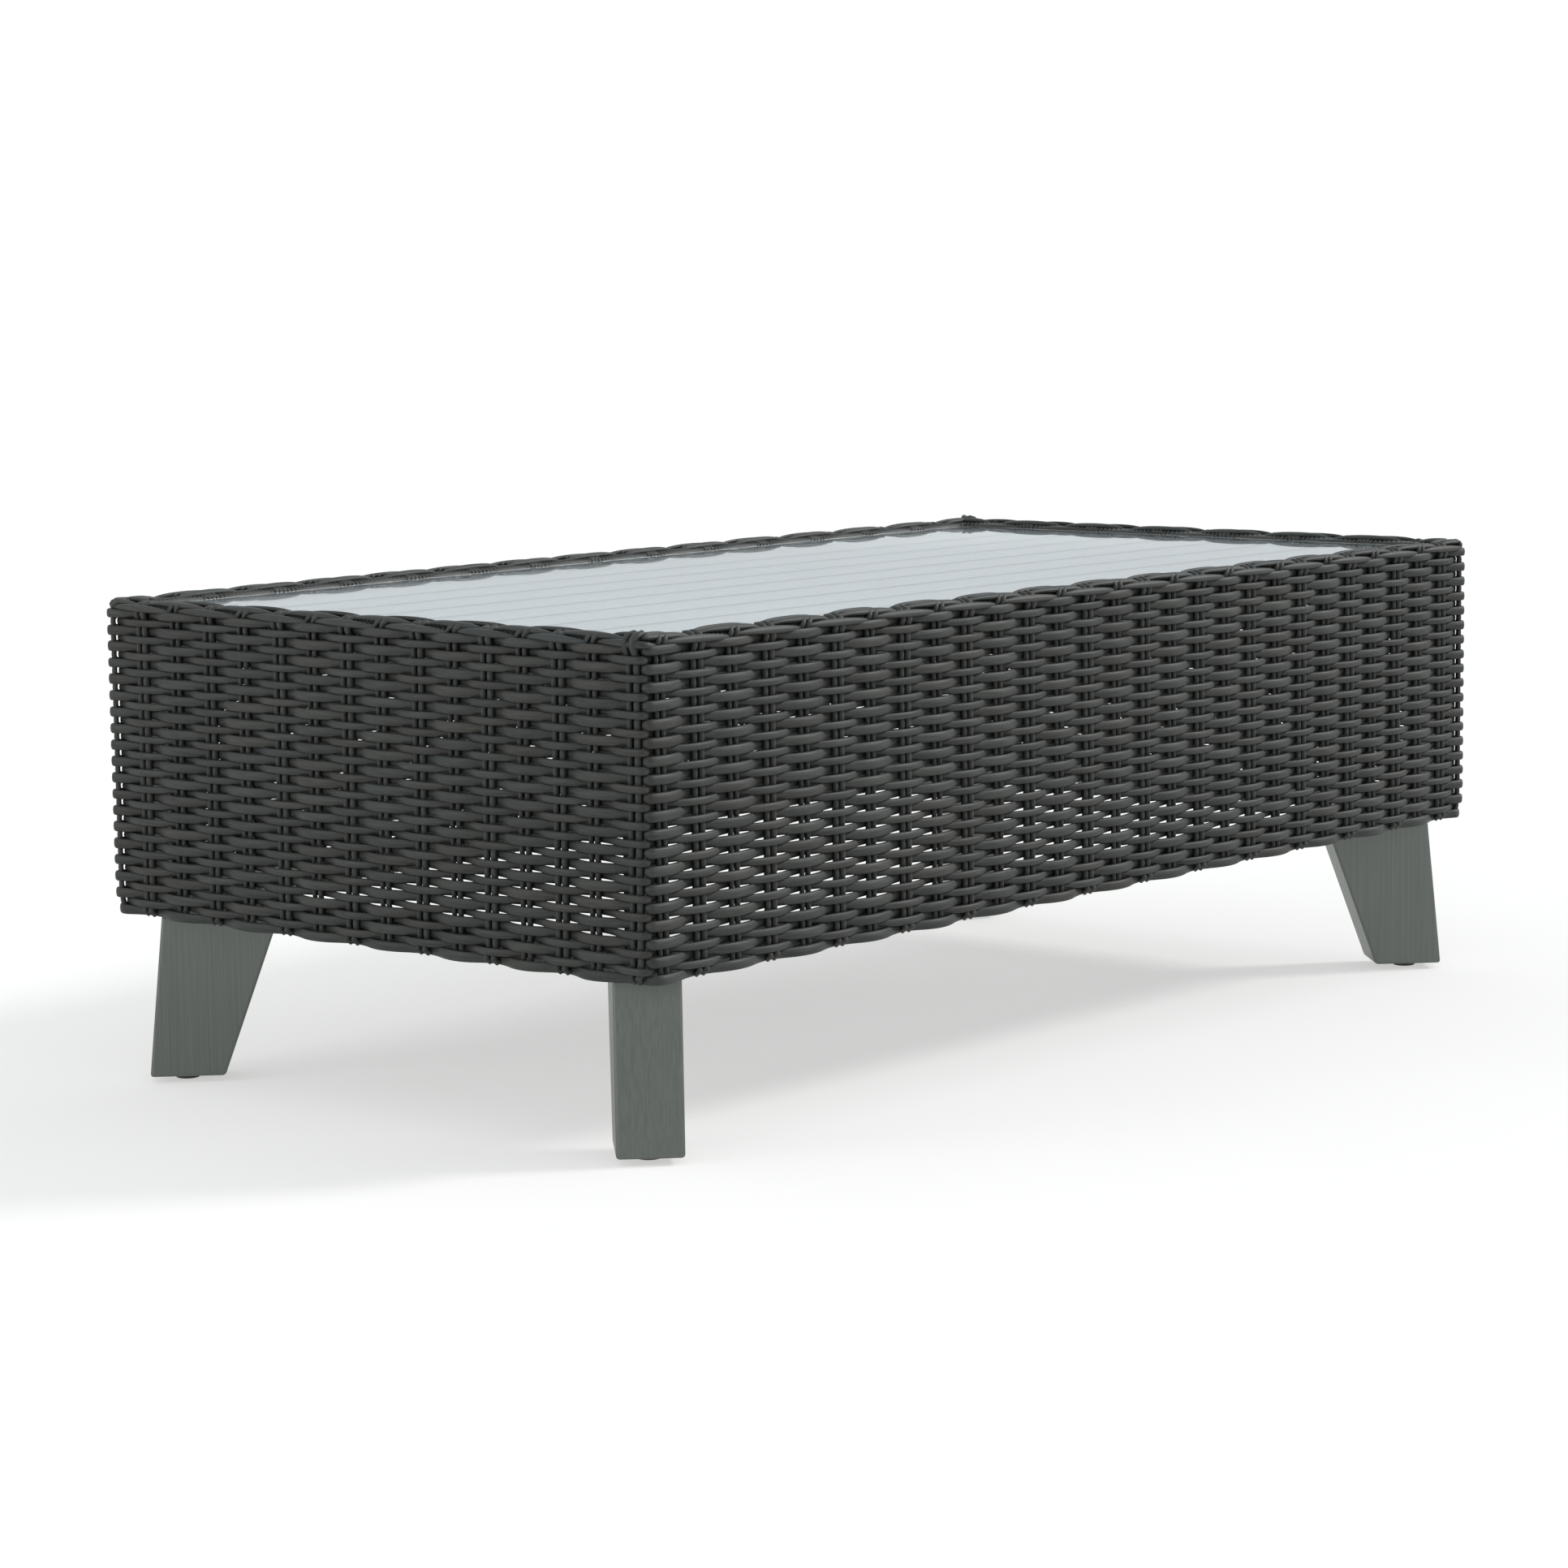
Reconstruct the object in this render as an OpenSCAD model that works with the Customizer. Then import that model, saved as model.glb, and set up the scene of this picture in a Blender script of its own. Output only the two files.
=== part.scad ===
// Low garden table: a woven resin shell over an aluminium tube frame, four tapered slab legs
// set across the corners, and a loose glass pane over an aluminium slatted top.
// Millimetres, +Z up. Origin on the floor under the middle of the table. +X is along the
// length, -Y is the front and -X is the left end.

/* [Overall] */
// Length over the woven shell
table_length = 1206; // [1140:2:1260]
// Width over the woven shell
table_width = 632; // [600:2:650]
// Height from the floor to the top of the woven rim
table_height = 422; // [400:1:450]

/* [Woven shell] */
// Height of the lower edge of the weave above the floor
shell_bottom = 147; // [140:1:155]
// Thickness of the woven sides
shell_thickness = 8; // [6:1:8]
// Gap between the woven sides and the frame
frame_gap = 5; // [4:0.5:6]
// Outer radius of the upright corners
shell_corner_radius = 12; // [8:1:16]
// Thickness of the hem that turns in under the bottom rails
hem_thickness = 4; // [3:0.5:5]
// Width of the braided rim, seen from above
rim_width = 27; // [24:1:30]

/* [Frame] */
// Side of the square corner posts, and width of the bottom rails
tube_size = 25; // [22:1:28]
// Height of the bottom rails
bottom_rail_height = 20; // [18:1:25]
// Width of the flat tubes around the top
top_rail_width = 52; // [48:1:56]
// Height of the flat tubes around the top
top_rail_height = 25; // [20:1:30]
// Wall of every tube
tube_wall = 2; // [1.5:0.5:3]
// Thickness of the corner gussets
gusset_thickness = 5; // [4:0.5:6]
// Length of a gusset along each rail
gusset_side = 145; // [140:5:170]

/* [Slatted top] */
// Number of slats across the width
slat_count = 8; // [6:1:8]
// Gap on each side of a slat
slat_gap = 3; // [1.5:0.25:3.5]
// Height of a slat channel
slat_height = 12; // [10:1:14]
// Number of cross bars that carry the slats
cross_bar_count = 4; // [3:1:4]
// Radius of the slat screws
slat_screw_radius = 2; // [2:0.25:2.5]

/* [Glass] */
// Thickness of the glass pane
glass_thickness = 5; // [4:1:6]
// Height of the clear bumpers under the glass
bumper_height = 1.5; // [1:0.5:2]
// Step from the glass up to the top of the rim
rim_step = 7; // [5:1:9]

/* [Legs and feet] */
// Thickness of a leg, across the corner
leg_thickness = 55; // [45:1:55]
// Wall of a hollow leg
leg_wall = 3.5; // [3:0.5:5]
// Solid depth at the bottom of a leg
leg_block = 20; // [16:1:30]
// Thickness of the plate that closes the top of a leg
leg_plate_thickness = 4; // [3:0.5:4]
// Radius of the round foot pads
pad_radius = 11; // [10:0.5:13]
// Height of the foot pads
pad_height = 5; // [4:1:8]
// Radius of the levelling studs
stud_radius = 4; // [3:0.5:5]
// Length of the levelling studs above the pads
stud_length = 34; // [28:1:38]

/* [Hidden] */
$fn = 64;

wicker_colour = "#47494a";
leg_colour = "#616b67";
frame_colour = "#8c918f";
slat_colour = "#cdd2d4";
glass_colour = "#b9d3dc";
black_plastic = "#1b1c1d";
steel_colour = "#b5b8ba";
silicone_colour = "#dfe5e6";

// Small overshoot of every cutting shape past the face that it opens
cut = 1;

// Levels, from the floor up
leg_top = shell_bottom;
frame_bottom = shell_bottom + leg_plate_thickness;
bottom_rail_top = frame_bottom + bottom_rail_height;
glass_top_z = table_height - rim_step;
glass_bottom = glass_top_z - glass_thickness;
top_rail_top = glass_bottom - bumper_height;
top_rail_bottom = top_rail_top - top_rail_height;
slat_bottom = top_rail_top - slat_height;

// Half sizes of the shell, of the frame inside it and of the field of slats
half_length = table_length / 2;
half_width = table_width / 2;
frame_inset = shell_thickness + frame_gap;
post_inset = frame_inset + tube_size;
rail_inset = frame_inset + top_rail_width;
field_half_length = half_length - rail_inset;
field_half_width = half_width - rail_inset;

// Slats: a channel with two lips and a rib down its middle that takes the screws
slat_pitch = (2 * field_half_width - slat_gap) / slat_count;
slat_width = slat_pitch - slat_gap;
slat_skin = 2.5;
slat_lip = 2;
slat_rib = 8;
cross_bar_height = 20;
cross_bar_end_gap = 15;
cross_bar_reach = field_half_length - cross_bar_end_gap;
screw_head_radius = 4;
screw_head_height = 2.5;
screw_bite = 7;
running_clearance = 0.05;

// A leg's outline across its corner: distances inward along the corner's diagonal
foot_outer = 31;
foot_inner = 96;
shoulder_outer = 45;
shoulder_inner = 147;
foot_centre = 62;

// Four bolts hold each leg to its gusset
bolt_rows = [80, 125];
bolt_spread = 14;
bolt_radius = 4;
bolt_flange_radius = 8.5;
bolt_flange_height = 1.6;
bolt_hex_radius = 7.5;
bolt_head_height = 6.9;
bolt_reach = 12;

pad_chamfer = 1;
pad_socket = 3;
press_clearance = 0.02;

glass_edge_gap = 1.5;
glass_corner_radius = 8;
bumper_radius = 5;
bumper_inset = rim_width + glass_edge_gap + bumper_radius + 2;

function slat_y(i) = -field_half_width + slat_gap + slat_width / 2 + (i - 1) * slat_pitch;
function cross_bar_x(i) = cross_bar_reach * (2 * (i - 1) / (cross_bar_count - 1) - 1);

// How far a leg's outer and inner edges stand from the corner at height z
function leg_outer(z) =
    foot_outer + (shoulder_outer - foot_outer) * (z - pad_height) / (leg_top - pad_height);
function leg_inner(z) =
    foot_inner + (shoulder_inner - foot_inner) * (z - pad_height) / (leg_top - pad_height);

// Carries what is drawn for the back right corner to the corner at end_sign, side_sign
module at_corner(end_sign, side_sign) {
    mirror([end_sign < 0 ? 1 : 0, 0, 0])
        mirror([0, side_sign < 0 ? 1 : 0, 0])
            translate([half_length, half_width, 0])
                children();
}

// Turns +X inward along the diagonal of the back right corner
module on_diagonal() {
    rotate(225)
        children();
}

// Extrudes an outline drawn as distance from the corner and height
module across_corner(thickness) {
    rotate([90, 0, 0])
        linear_extrude(thickness, center = true)
            children();
}

module rounded_rectangle(length, width, radius) {
    square([length - 2 * radius, width], center = true);
    square([length, width - 2 * radius], center = true);
    for (x = [-1, 1], y = [-1, 1])
        translate([x * (length / 2 - radius), y * (width / 2 - radius)])
            circle(radius);
}

// The part of the plan that belongs to one side, cut at the mitres.
// side_of 0 is the front, 1 the right, 2 the back and 3 the left
module mitre_wedge(side_of) {
    across = side_of % 2 == 0;
    run = across ? half_length : half_width;
    depth = across ? half_width : half_length;
    reach = min(run, depth);
    rotate(90 * side_of)
        polygon([
            [-run - cut, -depth - cut], [run + cut, -depth - cut],
            [run - reach, -depth + reach], [-run + reach, -depth + reach]
        ]);
}

// One mitred side of the ring of material that lies within width of the outer face
module ring_side(side_of, width, height) {
    linear_extrude(height)
        intersection() {
            difference() {
                rounded_rectangle(table_length, table_width, shell_corner_radius);
                square([table_length - 2 * width, table_width - 2 * width], center = true);
            }
            mitre_wedge(side_of);
        }
}

// One woven side, with the hem that turns in under the bottom rail between the legs
module wicker_side(side_of) {
    across = side_of % 2 == 0;
    run = across ? half_length : half_width;
    depth = across ? half_width : half_length;
    hem_run = run - shoulder_inner;
    color(wicker_colour) {
        translate([0, 0, shell_bottom])
            ring_side(side_of, shell_thickness, top_rail_top - shell_bottom);
        rotate(90 * side_of)
            translate([-hem_run, -depth + shell_thickness - cut, shell_bottom])
                cube([2 * hem_run, cut + frame_gap + tube_size, hem_thickness]);
    }
}

module rim_side(side_of) {
    color(wicker_colour)
        translate([0, 0, top_rail_top])
            ring_side(side_of, rim_width, table_height - top_rail_top);
}

// A rectangular tube along +X, open at both ends
module tube(length, width, height) {
    difference() {
        cube([length, width, height]);
        translate([-cut, tube_wall, tube_wall])
            cube([length + 2 * cut, width - 2 * tube_wall, height - 2 * tube_wall]);
    }
}

// A long rail runs the whole frame, and a short one fits between the two long ones
module top_rail(side_of) {
    long = side_of % 2 == 0;
    run = long ? half_length - frame_inset : field_half_width;
    depth = (long ? half_width : half_length) - frame_inset;
    color(frame_colour)
        rotate(90 * side_of)
            translate([-run, -depth, top_rail_bottom])
                tube(2 * run, top_rail_width, top_rail_height);
}

module bottom_rail(side_of) {
    long = side_of % 2 == 0;
    run = (long ? half_length : half_width) - post_inset;
    depth = (long ? half_width : half_length) - frame_inset;
    color(frame_colour)
        rotate(90 * side_of)
            translate([-run, -depth, frame_bottom])
                tube(2 * run, tube_size, bottom_rail_height);
}

module corner_post(end_sign, side_sign) {
    post_height = top_rail_bottom - frame_bottom;
    color(frame_colour)
        at_corner(end_sign, side_sign)
            translate([-frame_inset, -post_inset, frame_bottom])
                rotate([0, -90, 0])
                    tube(post_height, tube_size, tube_size);
}

// Holes or shanks of one leg's bolts, drawn on the diagonal
module bolt_pattern() {
    for (row = bolt_rows, spread = [-bolt_spread, bolt_spread])
        translate([row, spread, 0])
            children();
}

module corner_gusset(end_sign, side_sign) {
    far = post_inset + gusset_side;
    color(frame_colour)
        at_corner(end_sign, side_sign)
            translate([0, 0, frame_bottom])
                difference() {
                    linear_extrude(gusset_thickness)
                        polygon([
                            [-post_inset, -post_inset], [-far, -post_inset], [-post_inset, -far]
                        ]);
                    on_diagonal()
                        bolt_pattern()
                            translate([0, 0, -cut])
                                cylinder(r = bolt_radius, h = gusset_thickness + 2 * cut);
                }
}

module leg_plate(end_sign, side_sign) {
    color(leg_colour)
        at_corner(end_sign, side_sign)
            on_diagonal()
                translate([0, 0, leg_top])
                    difference() {
                        translate([shoulder_outer, -leg_thickness / 2, 0])
                            cube([
                                shoulder_inner - shoulder_outer, leg_thickness, leg_plate_thickness
                            ]);
                        bolt_pattern()
                            translate([0, 0, -cut])
                                cylinder(r = bolt_radius, h = leg_plate_thickness + 2 * cut);
                    }
}

// A leg's outline between two heights, kept wall away from its slanted edges
module leg_outline(low, high, wall) {
    polygon([
        [leg_outer(low) + wall, low], [leg_inner(low) - wall, low],
        [leg_inner(high) - wall, high], [leg_outer(high) + wall, high]
    ]);
}

module leg(end_sign, side_sign) {
    color(leg_colour)
        at_corner(end_sign, side_sign)
            on_diagonal()
                difference() {
                    across_corner(leg_thickness)
                        leg_outline(pad_height, leg_top, 0);
                    across_corner(leg_thickness - 2 * leg_wall)
                        leg_outline(pad_height + leg_block, leg_top + cut, leg_wall);
                    translate([foot_centre, 0, pad_height - cut])
                        cylinder(r = stud_radius + running_clearance, h = leg_block + 2 * cut);
                }
}

module leg_bolt() {
    head_bottom = frame_bottom + gusset_thickness;
    translate([0, 0, head_bottom])
        cylinder(r = bolt_flange_radius, h = bolt_flange_height);
    translate([0, 0, head_bottom + bolt_flange_height])
        cylinder(r = bolt_hex_radius, h = bolt_head_height - bolt_flange_height, $fn = 6);
    translate([0, 0, leg_top - bolt_reach])
        cylinder(r = bolt_radius - running_clearance, h = head_bottom - leg_top + bolt_reach);
}

module leg_bolts() {
    color(steel_colour)
        for (end_sign = [-1, 1], side_sign = [-1, 1])
            at_corner(end_sign, side_sign)
                on_diagonal()
                    bolt_pattern()
                        leg_bolt();
}

module at_foot(end_sign, side_sign) {
    at_corner(end_sign, side_sign)
        on_diagonal()
            translate([foot_centre, 0, 0])
                children();
}

module foot_stud(end_sign, side_sign) {
    color(steel_colour)
        at_foot(end_sign, side_sign)
            translate([0, 0, pad_height - pad_socket])
                cylinder(r = stud_radius, h = stud_length + pad_socket);
}

module foot_pad(end_sign, side_sign) {
    color(black_plastic)
        at_foot(end_sign, side_sign)
            difference() {
                union() {
                    cylinder(r1 = pad_radius - pad_chamfer, r2 = pad_radius, h = pad_chamfer);
                    translate([0, 0, pad_chamfer])
                        cylinder(r = pad_radius, h = pad_height - pad_chamfer);
                }
                translate([0, 0, pad_height - pad_socket])
                    cylinder(r = stud_radius + press_clearance, h = pad_socket + cut);
            }
}

module cross_bar(i) {
    color(frame_colour)
        difference() {
            translate([cross_bar_x(i) + tube_size / 2, -field_half_width, slat_bottom - cross_bar_height])
                rotate(90)
                    tube(2 * field_half_width, tube_size, cross_bar_height);
            for (j = [1 : slat_count])
                translate([cross_bar_x(i), slat_y(j), slat_bottom - cross_bar_height - cut])
                    cylinder(r = slat_screw_radius + running_clearance, h = cross_bar_height + 2 * cut);
        }
}

module slat(i) {
    half_run = field_half_length - slat_gap;
    web_height = slat_height - slat_skin;
    color(slat_colour)
        translate([-half_run, slat_y(i), slat_bottom])
            difference() {
                union() {
                    translate([0, -slat_width / 2, web_height])
                        cube([2 * half_run, slat_width, slat_skin]);
                    for (lip_y = [-slat_width / 2, slat_width / 2 - slat_lip])
                        translate([0, lip_y, 0])
                            cube([2 * half_run, slat_lip, slat_height]);
                    translate([0, -slat_rib / 2, 0])
                        cube([2 * half_run, slat_rib, slat_height]);
                }
                for (j = [1 : cross_bar_count])
                    translate([half_run + cross_bar_x(j), 0, -cut])
                        cylinder(r = slat_screw_radius + running_clearance, h = web_height);
            }
}

module slat_screws() {
    bar_bottom = slat_bottom - cross_bar_height;
    color(steel_colour)
        for (i = [1 : cross_bar_count], j = [1 : slat_count])
            translate([cross_bar_x(i), slat_y(j), bar_bottom - screw_head_height]) {
                cylinder(r = screw_head_radius, h = screw_head_height);
                cylinder(
                    r = slat_screw_radius,
                    h = screw_head_height + cross_bar_height + screw_bite
                );
            }
}

module glass_top() {
    inset = rim_width + glass_edge_gap;
    color(glass_colour, 0.4)
        translate([0, 0, glass_bottom])
            linear_extrude(glass_thickness)
                rounded_rectangle(
                    table_length - 2 * inset, table_width - 2 * inset, glass_corner_radius
                );
}

// Ten clear discs on the top rails: one in each corner, two more along each side, one at each end
module glass_bumpers() {
    reach_x = half_length - bumper_inset;
    reach_y = half_width - bumper_inset;
    corners = [for (x = [-reach_x, reach_x], y = [-reach_y, reach_y]) [x, y]];
    sides = [for (x = [-reach_x / 3, reach_x / 3], y = [-reach_y, reach_y]) [x, y]];
    ends = [[-reach_x, 0], [reach_x, 0]];
    color(silicone_colour)
        for (place = concat(corners, sides, ends))
            translate([place[0], place[1], top_rail_top])
                cylinder(r = bumper_radius, h = bumper_height);
}

glass_top();
glass_bumpers();
rim_side(0);  // rim_front
rim_side(1);  // rim_right
rim_side(2);  // rim_back
rim_side(3);  // rim_left
wicker_side(0);  // wicker_front
wicker_side(1);  // wicker_right
wicker_side(2);  // wicker_back
wicker_side(3);  // wicker_left
top_rail(0);  // top_rail_front
top_rail(1);  // top_rail_right
top_rail(2);  // top_rail_back
top_rail(3);  // top_rail_left
bottom_rail(0);  // bottom_rail_front
bottom_rail(1);  // bottom_rail_right
bottom_rail(2);  // bottom_rail_back
bottom_rail(3);  // bottom_rail_left
slat(1);  // slat_1
slat(2);  // slat_2
slat(3);  // slat_3
slat(4);  // slat_4
slat(5);  // slat_5
slat(6);  // slat_6
slat(7);  // slat_7
slat(8);  // slat_8
cross_bar(1);  // cross_bar_1
cross_bar(2);  // cross_bar_2
cross_bar(3);  // cross_bar_3
cross_bar(4);  // cross_bar_4
slat_screws();
corner_post(-1, -1);  // corner_post_front_left
corner_post(1, -1);  // corner_post_front_right
corner_post(-1, 1);  // corner_post_back_left
corner_post(1, 1);  // corner_post_back_right
corner_gusset(-1, -1);  // corner_gusset_front_left
corner_gusset(1, -1);  // corner_gusset_front_right
corner_gusset(-1, 1);  // corner_gusset_back_left
corner_gusset(1, 1);  // corner_gusset_back_right
leg_plate(-1, -1);  // leg_plate_front_left
leg_plate(1, -1);  // leg_plate_front_right
leg_plate(-1, 1);  // leg_plate_back_left
leg_plate(1, 1);  // leg_plate_back_right
leg(-1, -1);  // leg_front_left
leg(1, -1);  // leg_front_right
leg(-1, 1);  // leg_back_left
leg(1, 1);  // leg_back_right
leg_bolts();
foot_stud(-1, -1);  // foot_stud_front_left
foot_stud(1, -1);  // foot_stud_front_right
foot_stud(-1, 1);  // foot_stud_back_left
foot_stud(1, 1);  // foot_stud_back_right
foot_pad(-1, -1);  // foot_pad_front_left
foot_pad(1, -1);  // foot_pad_front_right
foot_pad(-1, 1);  // foot_pad_back_left
foot_pad(1, 1);  // foot_pad_back_right
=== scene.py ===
"""Looks of the woven garden table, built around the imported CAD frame.

The weave is real geometry: every strand of the sides, the braided rim and the wrapped hem
is a closed tube. Plan positions are found from s, the distance round the shell's outer
rectangle, which starts at the front left corner and runs along the front, the right end,
the back and the left end. The strand code works in millimetres, and meshes are in metres.
"""
import math
import bmesh
import bpy
import numpy as np
from mathutils import Matrix, Vector


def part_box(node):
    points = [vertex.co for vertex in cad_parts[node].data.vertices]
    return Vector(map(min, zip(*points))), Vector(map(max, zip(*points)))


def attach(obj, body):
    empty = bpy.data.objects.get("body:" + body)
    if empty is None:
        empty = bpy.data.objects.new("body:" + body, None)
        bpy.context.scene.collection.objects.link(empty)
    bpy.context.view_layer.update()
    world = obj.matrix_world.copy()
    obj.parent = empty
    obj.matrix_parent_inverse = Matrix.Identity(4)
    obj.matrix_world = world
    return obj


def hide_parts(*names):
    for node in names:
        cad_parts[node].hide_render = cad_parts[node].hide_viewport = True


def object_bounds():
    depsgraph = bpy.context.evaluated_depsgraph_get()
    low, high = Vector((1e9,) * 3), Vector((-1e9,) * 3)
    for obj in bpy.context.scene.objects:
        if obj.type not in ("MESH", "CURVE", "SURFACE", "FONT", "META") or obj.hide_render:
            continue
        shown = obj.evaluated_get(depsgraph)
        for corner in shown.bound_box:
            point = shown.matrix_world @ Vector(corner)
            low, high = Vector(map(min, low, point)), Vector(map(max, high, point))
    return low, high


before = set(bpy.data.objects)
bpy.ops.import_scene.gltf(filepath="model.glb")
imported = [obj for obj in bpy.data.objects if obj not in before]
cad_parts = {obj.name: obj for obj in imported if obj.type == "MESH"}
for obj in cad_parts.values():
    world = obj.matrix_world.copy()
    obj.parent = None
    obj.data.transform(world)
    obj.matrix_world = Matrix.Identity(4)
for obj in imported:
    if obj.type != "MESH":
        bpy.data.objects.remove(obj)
cad_box = [list(corner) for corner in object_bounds()]
random = np.random.default_rng(20260)

MM = 0.001
UP = np.array([0.0, 0.0, 1.0])

# ---------------------------------------------------------------- sizes from the frame, mm


def box_mm(node):
    """A node's lowest and highest corners, in millimetres."""
    low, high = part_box(node)
    return np.array(low) / MM, np.array(high) / MM


shell_low, _ = box_mm("wicker_front")
rim_low, rim_high = box_mm("rim_front")
rail_low, rail_high = box_mm("bottom_rail_front")
leg_low, leg_high = box_mm("leg_front_left")
slat_low, slat_high = box_mm("slat_1")
next_slat_low, _ = box_mm("slat_2")
HALF_LENGTH = cad_box[1][0] / MM
HALF_WIDTH = cad_box[1][1] / MM
SHELL_BOTTOM = shell_low[2]
RIM_TOP = rim_high[2]
RIM_WIDTH = rim_high[1] - rim_low[1]
RAIL_INSET = rail_low[1] + HALF_WIDTH
RAIL_DEPTH = rail_high[1] - rail_low[1]
RAIL_TOP = rail_high[2]
SLAT_START = 0.5 * MM * (slat_high[1] + next_slat_low[1])
SLAT_PITCH = MM * (next_slat_low[1] - slat_low[1])

SIDE_LENGTHS = [2 * HALF_LENGTH, 2 * HALF_WIDTH, 2 * HALF_LENGTH, 2 * HALF_WIDTH]
SIDE_STARTS = [0.0, 2 * HALF_LENGTH, 2 * HALF_LENGTH + 2 * HALF_WIDTH,
               4 * HALF_LENGTH + 2 * HALF_WIDTH]
PERIMETER = 4 * (HALF_LENGTH + HALF_WIDTH)
CORNERS = [(-HALF_LENGTH, -HALF_WIDTH), (HALF_LENGTH, -HALF_WIDTH),
           (HALF_LENGTH, HALF_WIDTH), (-HALF_LENGTH, HALF_WIDTH)]
SIDE_NAMES = ["front", "right", "back", "left"]

# ---------------------------------------------------------------- the loop round the shell

CORNER_RADIUS = 10.0
ROUNDER_BY, ROUNDER_OVER = 15.0, 7.0


def loop(s, inset, radius=CORNER_RADIUS):
    """Plan points at distance inset behind the outer face, and outward unit normals."""
    s = np.mod(np.asarray(s, float), PERIMETER)
    inset = np.broadcast_to(np.asarray(inset, float), s.shape)
    side = np.clip(np.searchsorted(SIDE_STARTS, s, side="right") - 1, 0, 3)
    along = s - np.take(SIDE_STARTS, side)
    length = np.take(SIDE_LENGTHS, side)
    zone = np.maximum(radius, inset + 1.0)
    turn = np.radians(-90.0 + 90.0 * side)
    before = np.clip(1.0 - along / zone, 0.0, 1.0)
    after = np.clip(1.0 - (length - along) / zone, 0.0, 1.0)
    angle = turn + np.radians(45.0) * (after - before)
    normal = np.stack([np.cos(angle), np.sin(angle)], axis=-1)
    forward = np.stack([-np.sin(turn), np.cos(turn)], axis=-1)
    outward = np.stack([np.cos(turn), np.sin(turn)], axis=-1)
    start = np.array(CORNERS)[side]
    straight = np.clip(along, zone, length - zone)
    centre = start + forward * straight[..., None] - outward * zone[..., None]
    return centre + normal * (zone - inset)[..., None], normal


def place(s, inset, z):
    """3-D points, and 3-D outward normals. The corners are rounder close to the lower edge."""
    s = np.asarray(s, float)
    above = np.maximum(np.asarray(z, float) - SHELL_BOTTOM, 0.0)
    rounder = ROUNDER_BY * np.exp(-above / ROUNDER_OVER)
    plan, normal = loop(s, inset, np.broadcast_to(CORNER_RADIUS + rounder, s.shape))
    z = np.broadcast_to(np.asarray(z, float), plan.shape[:-1])
    points = np.concatenate([plan, z[..., None]], axis=-1)
    flat = np.zeros(z.shape)
    return points, np.concatenate([normal, flat[..., None]], axis=-1)


# ---------------------------------------------------------------- strands


def unit(vectors):
    """The same directions with a length of 1."""
    return vectors / np.maximum(np.linalg.norm(vectors, axis=-1, keepdims=True), 1e-9)


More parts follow.
